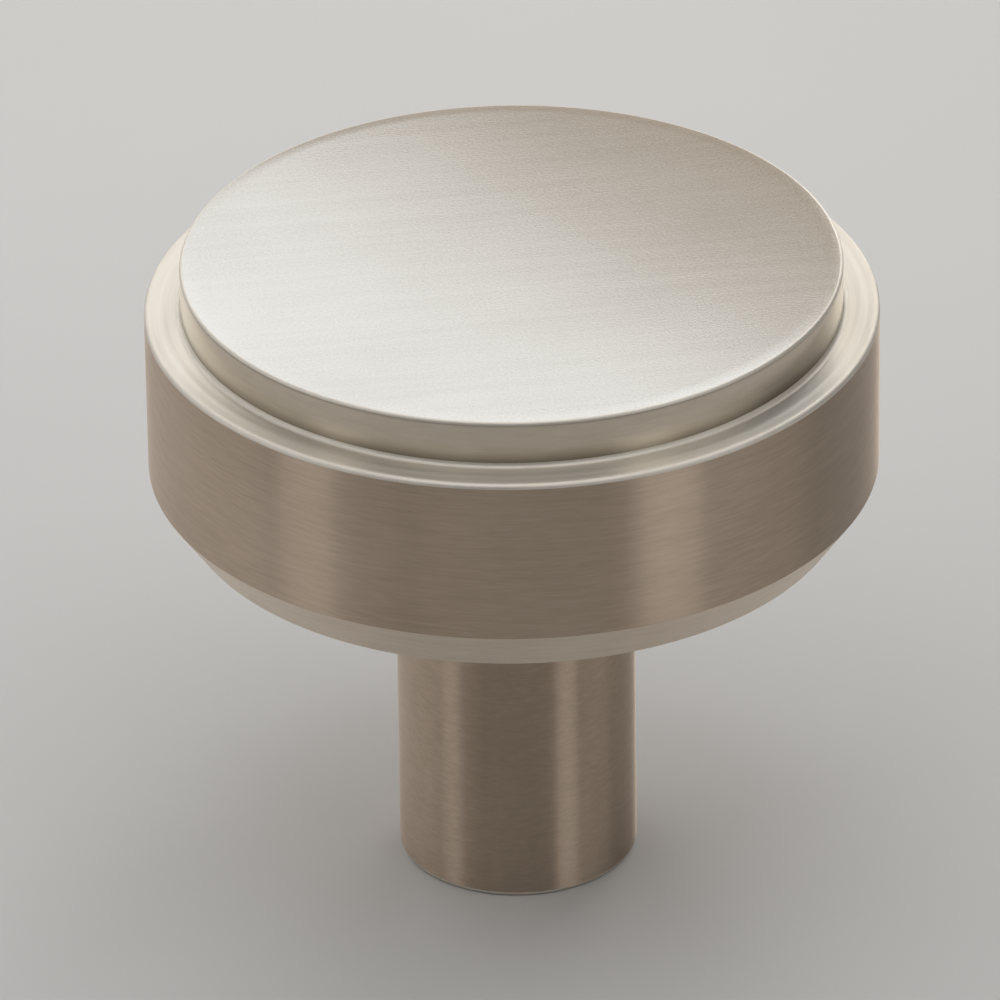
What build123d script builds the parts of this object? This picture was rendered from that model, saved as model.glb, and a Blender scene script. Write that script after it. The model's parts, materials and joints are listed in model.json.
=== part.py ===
from build123d import *
from math import radians, tan
import os

os.makedirs("parts", exist_ok=True)

# Round cabinet knob turned in one piece: post, chamfered head, shelf and raised flat crown.
# Millimetres. The base of the post sits at z = 0, centred on the z axis, and the crown faces +Z.

# Head
head_diameter = 31.75
band_height = 7.45
shelf_width = 1.575
crown_height = 2.15

# The crown is flat, and its brushed margin falls away a little towards the rim
crown_margin_width = 0.8
crown_margin_drop = 0.03

# Cone under the band
cone_height = 2.1
cone_depth = 1.45

# Post
post_diameter = 10.45
post_length = 17.3

# Corners as the turning tool and the brushing leave them
crown_foot_radius = 0.2
shelf_edge_radius = 0.2
crown_rim_break = 0.05
head_base_break = 0.1
post_foot_break = 0.2

# Blind hole for a no. 8 machine screw with 32 threads to the inch, at its tapping size
hole_diameter = 3.454
hole_depth = 12.7
drill_point_angle = 118.0
hole_mouth_diameter = 4.5
hole_mouth_angle = 90.0

# Radii and levels that follow from the sizes above
head_radius = head_diameter / 2
head_base_radius = head_radius - cone_depth
crown_radius = head_radius - shelf_width
crown_flat_radius = crown_radius - crown_margin_width
post_radius = post_diameter / 2
band_level = post_length + cone_height
shelf_level = band_level + band_height
crown_level = shelf_level + crown_height
crown_rim_level = crown_level - crown_margin_drop
hole_radius = hole_diameter / 2
hole_mouth_radius = hole_mouth_diameter / 2
hole_mouth_depth = (hole_mouth_radius - hole_radius) / tan(radians(hole_mouth_angle / 2))
hole_end_level = hole_depth + hole_radius / tan(radians(drill_point_angle / 2))

with BuildPart() as knob:
    # Half section of the turned body, radius across and level up
    with BuildSketch(Plane.XZ) as section:
        with BuildLine():
            crown_flat = Line((0, crown_level), (crown_flat_radius, crown_level))
            crown_rim = (crown_radius, crown_rim_level)
            crown_margin = TangentArc(crown_flat @ 1, crown_rim, tangent=crown_flat % 1)
            crown_foot = (crown_radius, shelf_level)
            shelf_edge = (head_radius, shelf_level)
            head_base_edge = (head_base_radius, post_length)
            post_foot = (post_radius, 0)
            Polyline(
                crown_margin @ 1,
                crown_foot,
                shelf_edge,
                (head_radius, band_level),
                head_base_edge,
                (post_radius, post_length),
                post_foot,
                (0, 0),
                crown_flat @ 0,
            )
        make_face()
        # Each corner is the vertex of the section that lies at its named point
        fillet(section.vertices().sort_by_distance(crown_foot)[0], crown_foot_radius)
        fillet(section.vertices().sort_by_distance(shelf_edge)[0], shelf_edge_radius)
        chamfer(section.vertices().sort_by_distance(crown_rim)[0], crown_rim_break)
        chamfer(section.vertices().sort_by_distance(head_base_edge)[0], head_base_break)
        chamfer(section.vertices().sort_by_distance(post_foot)[0], post_foot_break)
    revolve(axis=Axis.Z)

    # Tapping hole up the axis from the base, with a countersunk mouth and a drill point
    with BuildSketch(Plane.XZ):
        with BuildLine():
            Polyline(
                (0, 0),
                (hole_mouth_radius, 0),
                (hole_radius, hole_mouth_depth),
                (hole_radius, hole_depth),
                (0, hole_end_level),
                close=True,
            )
        make_face()
    revolve(axis=Axis.Z, mode=Mode.SUBTRACT)

knob.part.label = "knob"
export_step(knob.part, "parts/knob.step")
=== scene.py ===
import json
import math

import bpy
import numpy as np
from mathutils import Matrix, Quaternion, Vector


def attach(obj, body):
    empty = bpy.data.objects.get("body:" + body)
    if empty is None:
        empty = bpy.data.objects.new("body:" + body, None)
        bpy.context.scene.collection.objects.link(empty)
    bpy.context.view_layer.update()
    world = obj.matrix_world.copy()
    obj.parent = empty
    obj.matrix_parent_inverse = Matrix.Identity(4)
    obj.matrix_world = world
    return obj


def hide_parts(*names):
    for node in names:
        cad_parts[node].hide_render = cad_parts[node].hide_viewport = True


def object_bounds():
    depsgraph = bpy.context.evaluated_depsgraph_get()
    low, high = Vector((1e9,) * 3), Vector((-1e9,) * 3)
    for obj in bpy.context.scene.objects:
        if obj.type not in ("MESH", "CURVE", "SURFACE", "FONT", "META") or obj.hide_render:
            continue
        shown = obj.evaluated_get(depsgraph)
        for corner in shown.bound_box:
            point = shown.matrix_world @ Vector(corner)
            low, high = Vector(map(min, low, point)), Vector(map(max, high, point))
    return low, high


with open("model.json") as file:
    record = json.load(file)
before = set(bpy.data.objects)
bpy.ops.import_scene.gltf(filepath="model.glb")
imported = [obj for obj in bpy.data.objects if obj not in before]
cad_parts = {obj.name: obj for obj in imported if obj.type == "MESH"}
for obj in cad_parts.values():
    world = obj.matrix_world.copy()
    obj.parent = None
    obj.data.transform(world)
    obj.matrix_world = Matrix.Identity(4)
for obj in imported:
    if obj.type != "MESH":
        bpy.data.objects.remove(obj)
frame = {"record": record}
cadLow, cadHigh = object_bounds()
scene = bpy.context.scene
scene.view_settings.view_transform = "Standard"
print("frame loaded")


# Shader maths

class Wire:
    # holds one output socket; arithmetic on it adds Math nodes to the same tree
    def __init__(self, tree, socket=None):
        self.tree = tree
        self.socket = socket

    # any node: its type, the settings that go on first, then the values or links of its sockets
    def node(self, kind, settings=None, inputs=None, output=0):
        made = self.tree.nodes.new(kind)
        for name, value in (settings or {}).items():
            setattr(made, name, value)
        for name, value in (inputs or {}).items():
            if isinstance(value, Wire):
                self.tree.links.new(value.socket, made.inputs[name])
            else:
                made.inputs[name].default_value = value
        return Wire(self.tree, made.outputs[output] if len(made.outputs) else None)

    def math(self, operation, first, second):
        return self.node("ShaderNodeMath", {"operation": operation}, {0: first, 1: second})

    def __add__(self, other):
        return self.math("ADD", self, other)

    def __radd__(self, other):
        return self.math("ADD", other, self)

    def __sub__(self, other):
        return self.math("SUBTRACT", self, other)

    def __rsub__(self, other):
        return self.math("SUBTRACT", other, self)

    def __mul__(self, other):
        return self.math("MULTIPLY", self, other)

    def __rmul__(self, other):
        return self.math("MULTIPLY", other, self)

    # 0 below low, 1 above high, smooth between
    def between(self, low, high):
        sockets = {"Value": self, "From Min": low, "From Max": high}
        return self.node("ShaderNodeMapRange", {"interpolation_type": "SMOOTHSTEP"}, sockets)

    # grain of a noise over a vector that is already in its own units
    def grain(self, vector, detail, roughness=0.5):
        return self.node("ShaderNodeTexNoise", {"noise_dimensions": "3D"},
                         {"Vector": vector, "Scale": 1.0, "Detail": detail, "Roughness": roughness})

    # slow noise over a place, one period to each span
    def drift(self, place, span, detail):
        spread = self.node("ShaderNodeVectorMath", {"operation": "SCALE"}, {0: place, "Scale": 1.0 / span})
        return self.grain(spread, detail)

    def vector(self, operation, first, second):
        return self.node("ShaderNodeVectorMath", {"operation": operation}, {0: first, 1: second})

    # two colours by a factor
    def blend(self, factor, first, second):
        return self.node("ShaderNodeMix", {"data_type": "RGBA"},
                         {"Factor": factor, "A": first, "B": second}, 2)


def newFinish(name):
    made = bpy.data.materials.new(name)
    made.use_nodes = True
    made.node_tree.nodes.clear()
    return made, Wire(made.node_tree)


def metalSurface(wires, look, colour, roughness, height):
    bump = wires.node("ShaderNodeBump", None,
                      {"Strength": look["brushStrength"], "Distance": look["brushDepth"], "Height": height})
    metal = wires.node("ShaderNodeBsdfPrincipled", None, {
        "Base Color": colour,
        "Metallic": 1.0,
        "Roughness": roughness,
        "Anisotropic": look["anisotropy"],
        "Anisotropic Rotation": look["anisotropyTurn"],
        "Normal": bump,
    })
    wires.node("ShaderNodeOutputMaterial", None, {"Surface": metal})


# what the finishes of the turned faces share
brushedLook = {
    "roughnessSwing": 0.06,
    "fineLine": 0.00010,       # metres from line to line
    "coarseLine": 0.00034,
    "fineReach": 11.0,         # strokes in a radian of the turn
    "coarseReach": 5.0,
    "fineDetail": 2.0,         # octaves of each noise
    "coarseDetail": 3.0,
    "driftDetail": 2.0,
    "lineRoughness": 0.6,      # of the line noise, between its octaves
    "driftSpan": 0.006,
    "fineShare": 0.55,         # of the fine lines in the brushing; the coarse ones have the rest
    "driftShare": 0.25,        # of the slow drift in the tone; the brushing has the rest
    "toneRange": (0.30, 0.70),
    "anisotropyTurn": 0.25,    # a quarter turn: the lines run round, the gloss spreads across them
}

# the finishes of the turned faces, in the order of the section's parts; they are one nickel plating, with
# painted light and shade in the base colours: the band painted darkest, the wall between, the shelf, edges
# and cone painted paler
turnedLooks = {
    "bandNickel": {
        **brushedLook,
        # painted shade: the band's base colour is darker than the other faces of the same nickel
        "shade": (0.475, 0.375, 0.285, 1.0),    # in the brush lines
        "light": (0.58, 0.465, 0.365, 1.0),     # between them
        "roughness": 0.38,
        "brushStrength": 0.25,
        "brushDepth": 0.000004,
        "anisotropy": 1.0,
    },
    "wallNickel": {
        **brushedLook,
        "shade": (0.575, 0.50, 0.41, 1.0),
        "light": (0.66, 0.58, 0.485, 1.0),
        "paintedShade": (0.20, 0.17, 0.13, 1.0),        # painted shade: darker colour in the corner at the wall's foot and close under the rim
        "footReach": 0.0008,
        "footShadeShare": 0.9,
        "browReach": 0.0003,
        "browFull": 0.00015,                    # from here up the brow has its whole share
        "browShadeShare": 0.45,
        "roughness": 0.25,
        "brushStrength": 0.2,
        "brushDepth": 0.000003,
        "anisotropy": 0.5,
    },
    "shelfNickel": {
        **brushedLook,
        "shade": (0.68, 0.65, 0.58, 1.0),
        "light": (0.76, 0.735, 0.67, 1.0),
        "roughness": 0.40,
        "fineLine": 0.00009,
        "coarseLine": 0.00026,
        "fineReach": 3.0,
        "coarseReach": 0.8,
        "brushStrength": 0.3,
        "brushDepth": 0.000003,
        "anisotropy": 0.6,
    },
    "edgeNickel": {
        **brushedLook,
        "shade": (0.69, 0.64, 0.565, 1.0),      # painted highlight: the rounded corners are paler than the faces beside them
        "light": (0.78, 0.735, 0.665, 1.0),
        "roughness": 0.58,
        "fineLine": 0.00009,
        "coarseLine": 0.00026,
        "fineReach": 14.0,
        "coarseReach": 6.0,
        "brushStrength": 0.1,
        "brushDepth": 0.000002,
        "anisotropy": 0.0,
        "anisotropyTurn": 0.0,
    },
    "coneNickel": {
        **brushedLook,
        # painted reflection: the cone's base colour is paler than the band's, the same nickel
        "shade": (0.68, 0.58, 0.475, 1.0),
        "light": (0.79, 0.69, 0.58, 1.0),
        "roughness": 0.42,
        "fineReach": 9.0,
        "coarseReach": 4.0,
        "brushStrength": 0.15,
        "brushDepth": 0.000003,
        "anisotropy": 0.6,
    },
}


def turnedNickel(name, look, shelfLevel, crownLevel):
    # brush lines run round the axis: noise over the direction from the axis times the reach,
    # and over the distance along the section divided by the pitch
    made, wires = newFinish(name)
    place = wires.node("ShaderNodeTexCoord", output=3)
    flat = wires.vector("MULTIPLY", place, (1.0, 1.0, 0.0))
    around = wires.node("ShaderNodeVectorMath", {"operation": "NORMALIZE"}, {0: flat})
    along = wires.node("ShaderNodeAttribute", {"attribute_name": "along"}, output=2)

    def lines(reach, pitch, detail):
        across = wires.node("ShaderNodeCombineXYZ", None, {"Z": along * (1.0 / pitch)})
        bent = wires.node("ShaderNodeVectorMath", {"operation": "SCALE"}, {0: around, "Scale": reach})
        return wires.grain(wires.vector("ADD", bent, across), detail, look["lineRoughness"])

    fine = lines(look["fineReach"], look["fineLine"], look["fineDetail"])
    coarse = lines(look["coarseReach"], look["coarseLine"], look["coarseDetail"])
    drift = wires.drift(place, look["driftSpan"], look["driftDetail"])
    brush = look["fineShare"] * fine + (1.0 - look["fineShare"]) * coarse
    tone = ((1.0 - look["driftShare"]) * brush + look["driftShare"] * drift).between(*look["toneRange"])
    colour = wires.blend(tone, look["shade"], look["light"])
    # painted shade: the wall's colour darkens towards the shelf at its foot and just under the rim
    if "paintedShade" in look:
        height = wires.node("ShaderNodeSeparateXYZ", None, {"Vector": place}, 2)
        foot = height.between(shelfLevel + look["footReach"], shelfLevel)
        brow = height.between(crownLevel - look["browReach"], crownLevel - look["browFull"])
        colour = wires.blend(look["footShadeShare"] * foot + look["browShadeShare"] * brow, colour, look["paintedShade"])
    roughness = look["roughness"] + look["roughnessSwing"] * (brush - 0.5)
    metalSurface(wires, look, colour, roughness, brush)
    return made


crownLook = {
    # painted light: the crown's base colour is paler and more neutral than the band's, the same nickel
    "shade": (0.665, 0.655, 0.615, 1.0),
    "light": (0.745, 0.74, 0.71, 1.0),
    "roughness": 0.185,
    "roughnessSwing": 0.05,
    "brushTurn": 9.0,          # degrees between the strokes and the x axis
    "strokeLength": 0.0060,
    "strokeWidth": 0.00016,
    "streakLength": 0.0160,    # long faint waves between the strokes
    "streakWidth": 0.00075,
    "fleckSpan": 0.00012,
    "strokeDetail": 2.0,
    "fleckDetail": 1.0,
    "driftDetail": 2.0,
    "strokeRoughness": 0.6,
    "driftSpan": 0.009,
    "brushMix": {"stroke": 0.20, "streak": 0.10, "fleck": 0.70},
    "toneMix": {"stroke": 0.08, "streak": 0.17, "fleck": 0.40, "drift": 0.35},
    "toneRange": (0.36, 0.64),
    "brushStrength": 0.3,
    "brushDepth": 0.0000095,
    "anisotropy": 0.0,
    "anisotropyTurn": 0.0,
}


def crownNickel(look):
    # straight strokes: noise over the crown's own x and y, turned,
    # and stretched to the stroke's length and width
    made, wires = newFinish("crownNickel")
    place = wires.node("ShaderNodeTexCoord", output=3)
    turned = wires.node("ShaderNodeVectorRotate", {"rotation_type": "Z_AXIS"},
                        {"Vector": place, "Angle": -math.radians(look["brushTurn"])})

    def strokes(length, width, detail):
        stretched = wires.vector("MULTIPLY", turned, (1.0 / length, 1.0 / width, 0.0))
        return wires.grain(stretched, detail, look["strokeRoughness"])

    stroke = strokes(look["strokeLength"], look["strokeWidth"], look["strokeDetail"])
    streak = strokes(look["streakLength"], look["streakWidth"], look["strokeDetail"])
    fleck = strokes(look["fleckSpan"], look["fleckSpan"], look["fleckDetail"])
    drift = wires.drift(place, look["driftSpan"], look["driftDetail"])
    mix = look["brushMix"]
    brush = mix["stroke"] * stroke + mix["streak"] * streak + mix["fleck"] * fleck
    mix = look["toneMix"]
    toned = mix["stroke"] * stroke + mix["streak"] * streak + mix["fleck"] * fleck + mix["drift"] * drift
    colour = wires.blend(toned.between(*look["toneRange"]), look["shade"], look["light"])
    roughness = look["roughness"] + look["roughnessSwing"] * (brush - 0.5)
    metalSurface(wires, look, colour, roughness, brush)
    return made


# Turned body

knobShape = {
    "bandHeight": 0.00745,
    "shelfWidth": 0.001575,
    "crownHeight": 0.00215,
    "crownMarginWidth": 0.0008,
    "crownMarginDrop": 0.00003,
    "coneHeight": 0.0021,
    "coneDepth": 0.00145,
    "postDiameter": 0.01045,
    # how far each corner's rounding reaches along its two runs
    "crownRim": 0.00012,
    "crownFoot": 0.0002,
    "shelfEdge": 0.0002,
    "crispEdge": 0.00002,
    "headBase": 0.0001,
    "postFoot": 0.0002,
    # turning rings on the shelf
    "ringCount": 2,
    "ringDepth": 0.000006,
    # tapped hole
    "holeDepth": 0.0127,
    "drillPointAngle": 118.0,
    "mouthDiameter": 0.0045,
    "threadMajor": 0.004166,
    "threadPitch": 0.00079375,
    "threadDepth": 0.0112,    # up from the base, less than the drilled depth
    "threadRunOut": 1.5,      # turns over which the thread fades at its end
    "threadCrest": 0.25,      # flat of the crest and then the flank, as shares of half a pitch
    "threadFlank": 0.625,
    # mesh
    "segments": 192,
    "flatRows": 6,
    "marginRows": 12,
    "cornerRows": 8,
    "runLead": 0.00003,       # a row this close to each corner keeps the flats flat
    "rowsPerRing": 12,
    "rowsPerThread": 12,
}


def roundedRuns(start, corners, end, rows, lead):
    # straight runs joined by arcs: each arc touches both runs at its reach from the corner, and its
    # points are the spoke to the first touching point turned step by step through the corner's angle
    marks = np.array([start] + [corner["at"] for corner in corners] + [end], float)
    steps = np.diff(marks, axis=0)
    ways = steps / np.linalg.norm(steps, axis=1)[:, None]
    path, finish = [marks[:1]], []
    for corner, before, after in zip(corners, ways[:-1], ways[1:]):
        turn = math.atan2(before[0] * after[1] - before[1] * after[0], before @ after)
        radius = corner["reach"] / math.tan(abs(turn) / 2)
        side = np.array([-before[1], before[0]]) * math.copysign(1.0, turn)
        middle = np.array(corner["at"]) - before * corner["reach"] + side * radius
        sweep = np.linspace(0.0, turn, rows)
        spoke = -side * radius
        arc = np.stack([middle[0] + spoke[0] * np.cos(sweep) - spoke[1] * np.sin(sweep),
                        middle[1] + spoke[0] * np.sin(sweep) + spoke[1] * np.cos(sweep)], axis=1)
        path += [arc[:1] - before * lead, arc, arc[-1:] + after * lead]
        finish += [corner["before"]] * 2 + [corner["on"]] * (rows - 1) + [corner["after"]]
    path.append(marks[-1:])
    finish.append(corners[-1]["after"])
    return np.concatenate(path), finish


def threadedRadius(level, angle, shape, boreRadius):
    # wall of the tapped hole: the tapping radius plus the thread's depth where the helix, level over pitch
    # less the share of a turn, is near its root; crest and root are flat, and the mouth is cut to a cone
    phase = (level / shape["threadPitch"] - angle / (2 * math.pi)) % 1.0
    ridge = 1.0 - np.abs(2.0 * phase - 1.0)
    depth = np.clip((ridge - shape["threadCrest"]) / shape["threadFlank"], 0.0, 1.0)
    runOut = shape["threadRunOut"] * shape["threadPitch"]
    fade = np.clip((shape["threadDepth"] - level) / runOut, 0.0, 1.0)
    cut = boreRadius + (shape["threadMajor"] / 2 - boreRadius) * depth * fade
    return np.maximum(cut, shape["mouthDiameter"] / 2 - level)


def turnedBody(shape, boreRadius, headRadius, crownLevel):
    # a section of radius and level carried round the z axis; in the hole the radius also follows the thread
    crownRadius = headRadius - shape["shelfWidth"]
    rimLevel = crownLevel - shape["crownMarginDrop"]
    shelfLevel = crownLevel - shape["crownHeight"]
    bandLevel = shelfLevel - shape["bandHeight"]
    baseLevel = bandLevel - shape["coneHeight"]
    coneRadius = headRadius - shape["coneDepth"]
    postRadius = shape["postDiameter"] / 2
    mouthRadius = shape["mouthDiameter"] / 2
    crisp, rows, lead = shape["crispEdge"], shape["cornerRows"], shape["runLead"]
    band, wallFace, shelf, edge, cone, crown = range(6)

    # flat crown, then the margin, which falls with the square of the distance
    flatRadius = crownRadius - shape["crownMarginWidth"]
    flatRows = np.linspace(flatRadius / shape["flatRows"], flatRadius, shape["flatRows"])
    marginEnd = crownRadius - shape["crownRim"] - 2 * lead
    marginRows = np.linspace(flatRadius, marginEnd, shape["marginRows"] + 1)[1:]
    marginFall = shape["crownMarginDrop"] * ((marginRows - flatRadius) / shape["crownMarginWidth"]) ** 2
    top = np.concatenate([
        np.stack([flatRows, np.full(len(flatRows), crownLevel)], axis=1),
        np.stack([marginRows, crownLevel - marginFall], axis=1),
    ])

    # crown wall down to the shelf
    shelfStart = (crownRadius + shape["crownFoot"] + 2 * lead, shelfLevel)
    wall, wallFinish = roundedRuns(top[-1], [
        {"at": (crownRadius, rimLevel), "reach": shape["crownRim"],
         "before": crown, "on": edge, "after": wallFace},
        {"at": (crownRadius, shelfLevel), "reach": shape["crownFoot"],
         "before": wallFace, "on": edge, "after": shelf},
    ], shelfStart, rows, lead)

    # shelf with its turning rings: the level dips by the cosine of the share of the way across
    shelfEnd = (headRadius - shape["shelfEdge"] - 2 * lead, shelfLevel)
    ringShare = np.linspace(0.0, 1.0, shape["ringCount"] * shape["rowsPerRing"] + 1)[1:-1]
    ringRadius = shelfStart[0] + (shelfEnd[0] - shelfStart[0]) * ringShare
    ringDip = shape["ringDepth"] * 0.5 * (1.0 - np.cos(2 * math.pi * shape["ringCount"] * ringShare))
    rings = np.stack([ringRadius, shelfLevel - ringDip], axis=1)

    # band, cone, underside, post and base to the mouth of the hole
    side, sideFinish = roundedRuns(shelfEnd, [
        {"at": (headRadius, shelfLevel), "reach": shape["shelfEdge"],
         "before": shelf, "on": edge, "after": band},
        {"at": (headRadius, bandLevel), "reach": crisp,
         "before": band, "on": band, "after": cone},
        {"at": (coneRadius, baseLevel), "reach": shape["headBase"],
         "before": cone, "on": edge, "after": cone},
        {"at": (postRadius, baseLevel), "reach": crisp,
         "before": cone, "on": band, "after": band},
        {"at": (postRadius, 0.0), "reach": shape["postFoot"],
         "before": band, "on": edge, "after": band},
    ], (mouthRadius, 0.0), rows, lead)
    outside = np.concatenate([top, wall[1:], rings, side])

    # hole from its mouth to the end of the drill's cylinder, then the drill point
    holeRows = int(shape["holeDepth"] / shape["threadPitch"] * shape["rowsPerThread"])
    holeLevels = np.linspace(0.0, shape["holeDepth"], holeRows)[1:]
    tip = shape["holeDepth"] + boreRadius / math.tan(math.radians(shape["drillPointAngle"] / 2))

    angles = np.linspace(0.0, 2 * math.pi, shape["segments"], endpoint=False)
    radius = np.concatenate([
        np.repeat(outside[:, :1], len(angles), axis=1),
        threadedRadius(holeLevels[:, None], angles[None, :], shape, boreRadius),
    ])
    level = np.repeat(np.concatenate([outside[:, 1], holeLevels])[:, None], len(angles), axis=1)
    circles = np.stack([radius * np.cos(angles), radius * np.sin(angles), level], axis=2).reshape(-1, 3)
    points = np.concatenate([circles, [(0.0, 0.0, crownLevel), (0.0, 0.0, tip)]])

    # quads between neighbouring circles, and a fan at each pole
    count = shape["segments"]
    lowest = len(radius) - 1
    circle, spot = np.meshgrid(np.arange(lowest), np.arange(count), indexing="ij")
    following = (spot + 1) % count
    quads = np.stack([circle * count + spot, (circle + 1) * count + spot,
                      (circle + 1) * count + following, circle * count + following], axis=2).reshape(-1, 4)
    first = np.arange(count)
    after = (first + 1) % count
    crownPole = np.full(count, len(circles))
    crownFan = np.stack([crownPole, first, after], axis=1)
    tipFan = np.stack([lowest * count + first, crownPole + 1, lowest * count + after], axis=1)

    mesh = bpy.data.meshes.new("knobBody")
    mesh.from_pydata(points.tolist(), [], crownFan.tolist() + quads.tolist() + tipFan.tolist())
    mesh.polygons.foreach_set("use_smooth", np.ones(len(mesh.polygons), bool))

    # distance along the section, for the brush lines
    meanRadius = radius.mean(axis=1)
    travel = np.concatenate([[0.0], np.cumsum(np.hypot(np.diff(meanRadius), np.diff(level[:, 0])))])
    along = meanRadius[0] + travel
    spread = np.concatenate([np.repeat(along, count), [0.0, along[-1]]])
    mesh.attributes.new("along", "FLOAT", "POINT").data.foreach_set("value", spread.astype(np.float32))

    # finish of the faces that follow each circle, with the crown's fan before the first
    rowFinish = [crown] * len(top) + wallFinish + [shelf] * (1 + len(rings)) + sideFinish
    rowFinish += [band] * (1 + len(holeLevels))
    mesh.polygons.foreach_set("material_index", np.repeat(rowFinish, count).astype(np.int32))
    mesh.update()
    mesh.validate()
    return mesh


screwHole = next(m for m in frame["record"]["mounts"] if m["name"] == "screw_hole")
headReach = min(-cadLow.x, -cadLow.y, cadHigh.x, cadHigh.y)    # inside the box on all four sides
body = turnedBody(knobShape, screwHole["dims"]["r_mm"] / 1000, headReach, cadHigh.z)
shelfTop = cadHigh.z - knobShape["crownHeight"]
for finishName, finishLook in turnedLooks.items():
    body.materials.append(turnedNickel(finishName, finishLook, shelfTop, cadHigh.z))
body.materials.append(crownNickel(crownLook))
knobBody = bpy.data.objects.new("knobBody", body)
scene.collection.objects.link(knobBody)
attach(knobBody, "root")
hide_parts("knob")
print("knob body", len(body.vertices), "points", len(body.polygons), "faces")


# Floor

floorLook = {
    "reach": 4.0,
    "opening": 0.0049,    # radius, hidden under the post, so that light from below reaches the base
    "segments": 96,
    "drop": 0.00002,      # below the base, so the two faces never share a plane
    "shade": (0.57, 0.565, 0.555, 1.0),
    "light": (0.62, 0.615, 0.605, 1.0),
    "grainSpan": 0.05,
    "grainDetail": 4.0,
    "roughness": 0.75,
    "specular": 0.2,
}


def paleFloor(look):
    # a flat ring between two circles, opaque from above and clear from below,
    # so that the base can be looked at
    mesh = bpy.data.meshes.new("paleFloor")
    count = look["segments"]
    angles = np.linspace(0.0, 2 * math.pi, count, endpoint=False)
    spokes = np.stack([np.cos(angles), np.sin(angles)], axis=1)
    flat = np.concatenate([look["opening"] * spokes, look["reach"] * spokes])
    points = np.concatenate([flat, np.full((2 * count, 1), -look["drop"])], axis=1)
    first = np.arange(count)
    after = (first + 1) % count
    quads = np.stack([first, count + first, count + after, after], axis=1)
    mesh.from_pydata(points.tolist(), [], quads.tolist())
    made, wires = newFinish("paleFloor")
    place = wires.node("ShaderNodeTexCoord", output=3)
    mottle = wires.drift(place, look["grainSpan"], look["grainDetail"])
    colour = wires.blend(mottle, look["shade"], look["light"])
    solid = wires.node("ShaderNodeBsdfPrincipled", None, {
        "Base Color": colour,
        "Roughness": look["roughness"],
        "Specular IOR Level": look["specular"],
    })
    clear = wires.node("ShaderNodeBsdfTransparent")
    behind = wires.node("ShaderNodeNewGeometry", output=6)
    both = wires.node("ShaderNodeMixShader", None, {0: behind, 1: solid, 2: clear})
    wires.node("ShaderNodeOutputMaterial", None, {"Surface": both})
    mesh.materials.append(made)
    return mesh


floorSheet = bpy.data.objects.new("paleFloor", paleFloor(floorLook))
scene.collection.objects.link(floorSheet)
print("floor laid")


# Studio light

# bearing in degrees from the camera's side, right positive; rise in degrees, seen from the axis at the
# aim's level; distance and aim in metres; width and height of the face; turn about its own axis; slide
# along the turned face; brightness of the face, and its tint where it isn't white
tallBox = {"rise": 0, "distance": 0.30, "aim": 0.166, "turn": 0}    # stands upright from the floor
crownBox = {"bearing": -159, "rise": 50, "distance": 0.116, "aim": 0.029, "turn": -42}
softboxes = {
    "overhead": {"bearing": 22, "rise": 78, "distance": 0.43, "aim": 0.020,
                 "size": (0.70, 0.42), "turn": 0, "level": 1.15},
    "frontCard": {"bearing": 0, "rise": 33, "distance": 0.45, "aim": 0.020,
                  "size": (0.40, 0.25), "turn": 0, "level": 0.2},
    "overCrown": {**crownBox, "size": (0.139, 0.103), "slide": -0.009, "level": 1.08},
    "warmCard": {**crownBox, "size": (0.139, 0.170), "slide": -0.1455, "level": 0.36,
                 "tint": (1.0, 0.79, 0.585)},
    "leftBack": {**tallBox, "bearing": -150, "size": (0.15, 0.33), "level": 0.72},
    "leftSide": {**tallBox, "bearing": -105, "size": (0.33, 0.33), "level": 0.69},
    "leftStrip": {**tallBox, "bearing": -63, "size": (0.10, 0.33), "level": 1.1},
    "leftFront": {**tallBox, "bearing": -44, "size": (0.09, 0.33), "level": 0.20},
    "rightStrip": {**tallBox, "bearing": 46, "size": (0.105, 0.33), "level": 1.13},
    "rightSide": {**tallBox, "bearing": 76, "size": (0.17, 0.33), "level": 0.35},
    "rightHigh": {"bearing": 153, "rise": 50, "distance": 0.30, "aim": 0.027,
                  "size": (0.10, 0.12), "turn": 0, "level": 2.0},
    "rightBack": {**tallBox, "bearing": 156, "aim": 0.096, "size": (0.16, 0.19), "level": 2.0},
    "backLow": {**tallBox, "bearing": -172, "aim": 0.071, "size": (0.22, 0.14), "level": 0.25},
    "underCard": {"bearing": 180, "rise": -40, "distance": 0.30, "aim": 0.0,    # reaches only the base
                  "size": (0.50, 0.40), "turn": 0, "level": 0.6},
}
roomLook = {
    "light": (0.05, 0.05, 0.05, 1.0),          # what falls on the knob
    "backdrop": (0.45, 0.447, 0.44, 1.0),      # what the camera sees beyond the floor
}


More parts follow.
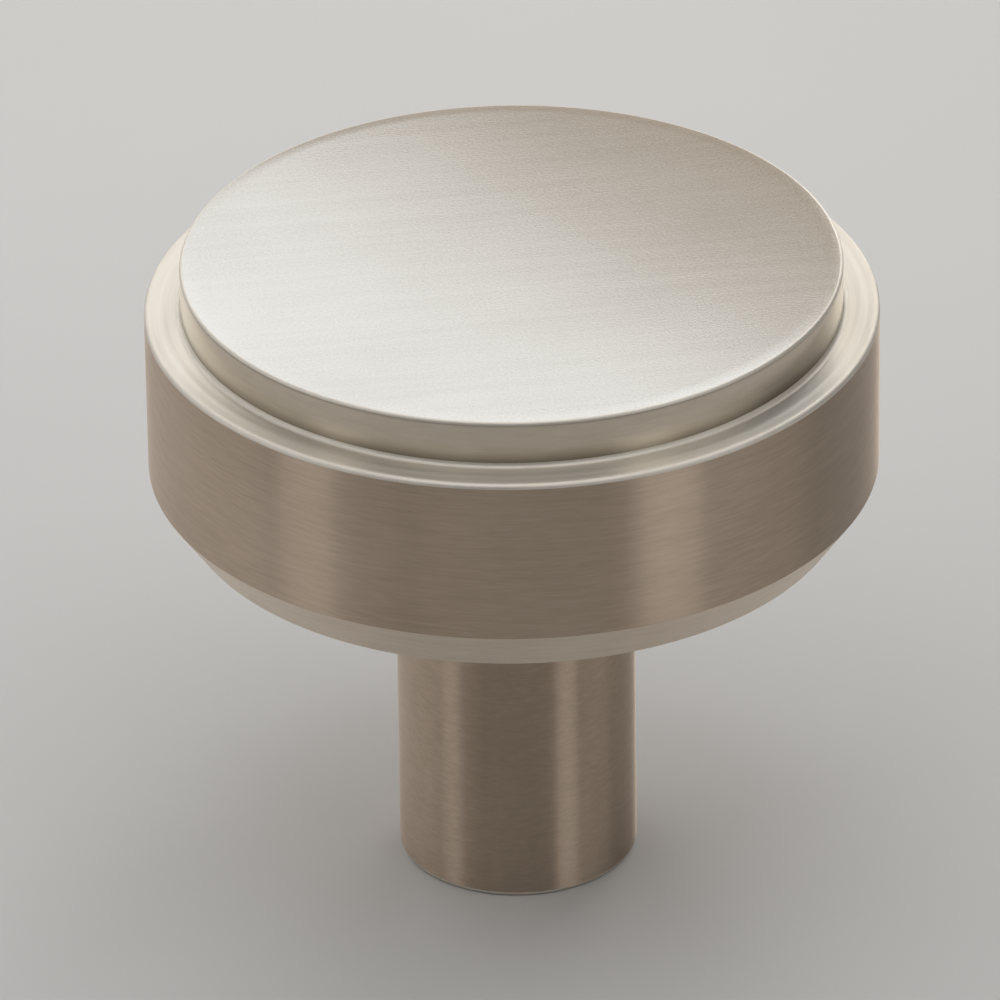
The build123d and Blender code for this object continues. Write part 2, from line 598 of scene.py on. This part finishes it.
def softbox(name, box):
    lamp = bpy.data.lights.new(name, "AREA")
    lamp.shape = "RECTANGLE"
    lamp.size, lamp.size_y = box["size"]
    lamp.energy = box["level"] * math.pi * lamp.size * lamp.size_y    # watts for that brightness
    lamp.color = box.get("tint", (1.0, 1.0, 1.0))
    bearing, rise = math.radians(box["bearing"]), math.radians(box["rise"])
    flat = math.cos(rise)
    away = Vector((math.sin(bearing) * flat, -math.cos(bearing) * flat, math.sin(rise)))
    facing = (-away).to_track_quat("-Z", "Y") @ Quaternion((0, 0, 1), math.radians(box["turn"]))
    holder = bpy.data.objects.new(name, lamp)
    slide = facing @ Vector((0, box.get("slide", 0.0), 0))
    holder.location = Vector((0, 0, box["aim"])) + away * box["distance"] + slide
    holder.rotation_euler = facing.to_euler()
    holder.visible_camera = False
    scene.collection.objects.link(holder)


for boxName, boxFacts in softboxes.items():
    softbox(boxName, boxFacts)

room = bpy.data.worlds.new("room")
room.use_nodes = True
room.node_tree.nodes.clear()
roomWires = Wire(room.node_tree)
seen = roomWires.node("ShaderNodeLightPath")
roomColour = roomWires.blend(seen, roomLook["light"], roomLook["backdrop"])
glow = roomWires.node("ShaderNodeBackground", None, {"Color": roomColour, "Strength": 1.0})
roomWires.node("ShaderNodeOutputWorld", None, {"Surface": glow})
scene.world = room
print("lights set")


# Camera

photoView = {
    "lens": 418.28,         # millimetres, on a 36 millimetre sensor
    "sensor": 36.0,
    "elevation": 30.058,    # degrees above the floor
    "distance": 0.506882,
    "pivotHeight": 0.015,
    "aim": (-0.000624, 0.0, 0.017068),
    "roll": -0.758,
    "clip": (0.01, 20.0),
}


def photoCamera(view):
    # stands back from the pivot at the elevation, looks at the aim, then turns about its axis by the roll
    rise = math.radians(view["elevation"])
    roll = math.radians(view["roll"])
    pivot = Vector((0, 0, view["pivotHeight"]))
    place = Vector((0.0, -math.cos(rise), math.sin(rise))) * view["distance"] + pivot
    ahead = (Vector(view["aim"]) - place).normalized()
    level = ahead.cross(Vector((0, 0, 1))).normalized()
    over = level.cross(ahead)
    right = level * math.cos(roll) + over * math.sin(roll)
    up = over * math.cos(roll) - level * math.sin(roll)
    lens = bpy.data.cameras.new("photoCamera")
    lens.lens = view["lens"]
    lens.sensor_width = view["sensor"]
    lens.clip_start, lens.clip_end = view["clip"]
    holder = bpy.data.objects.new("photoCamera", lens)
    turned = Matrix((right, up, -ahead)).transposed()
    holder.matrix_world = Matrix.Translation(place) @ turned.to_4x4()
    scene.collection.objects.link(holder)
    return holder


scene.camera = photoCamera(photoView)
print("camera set")
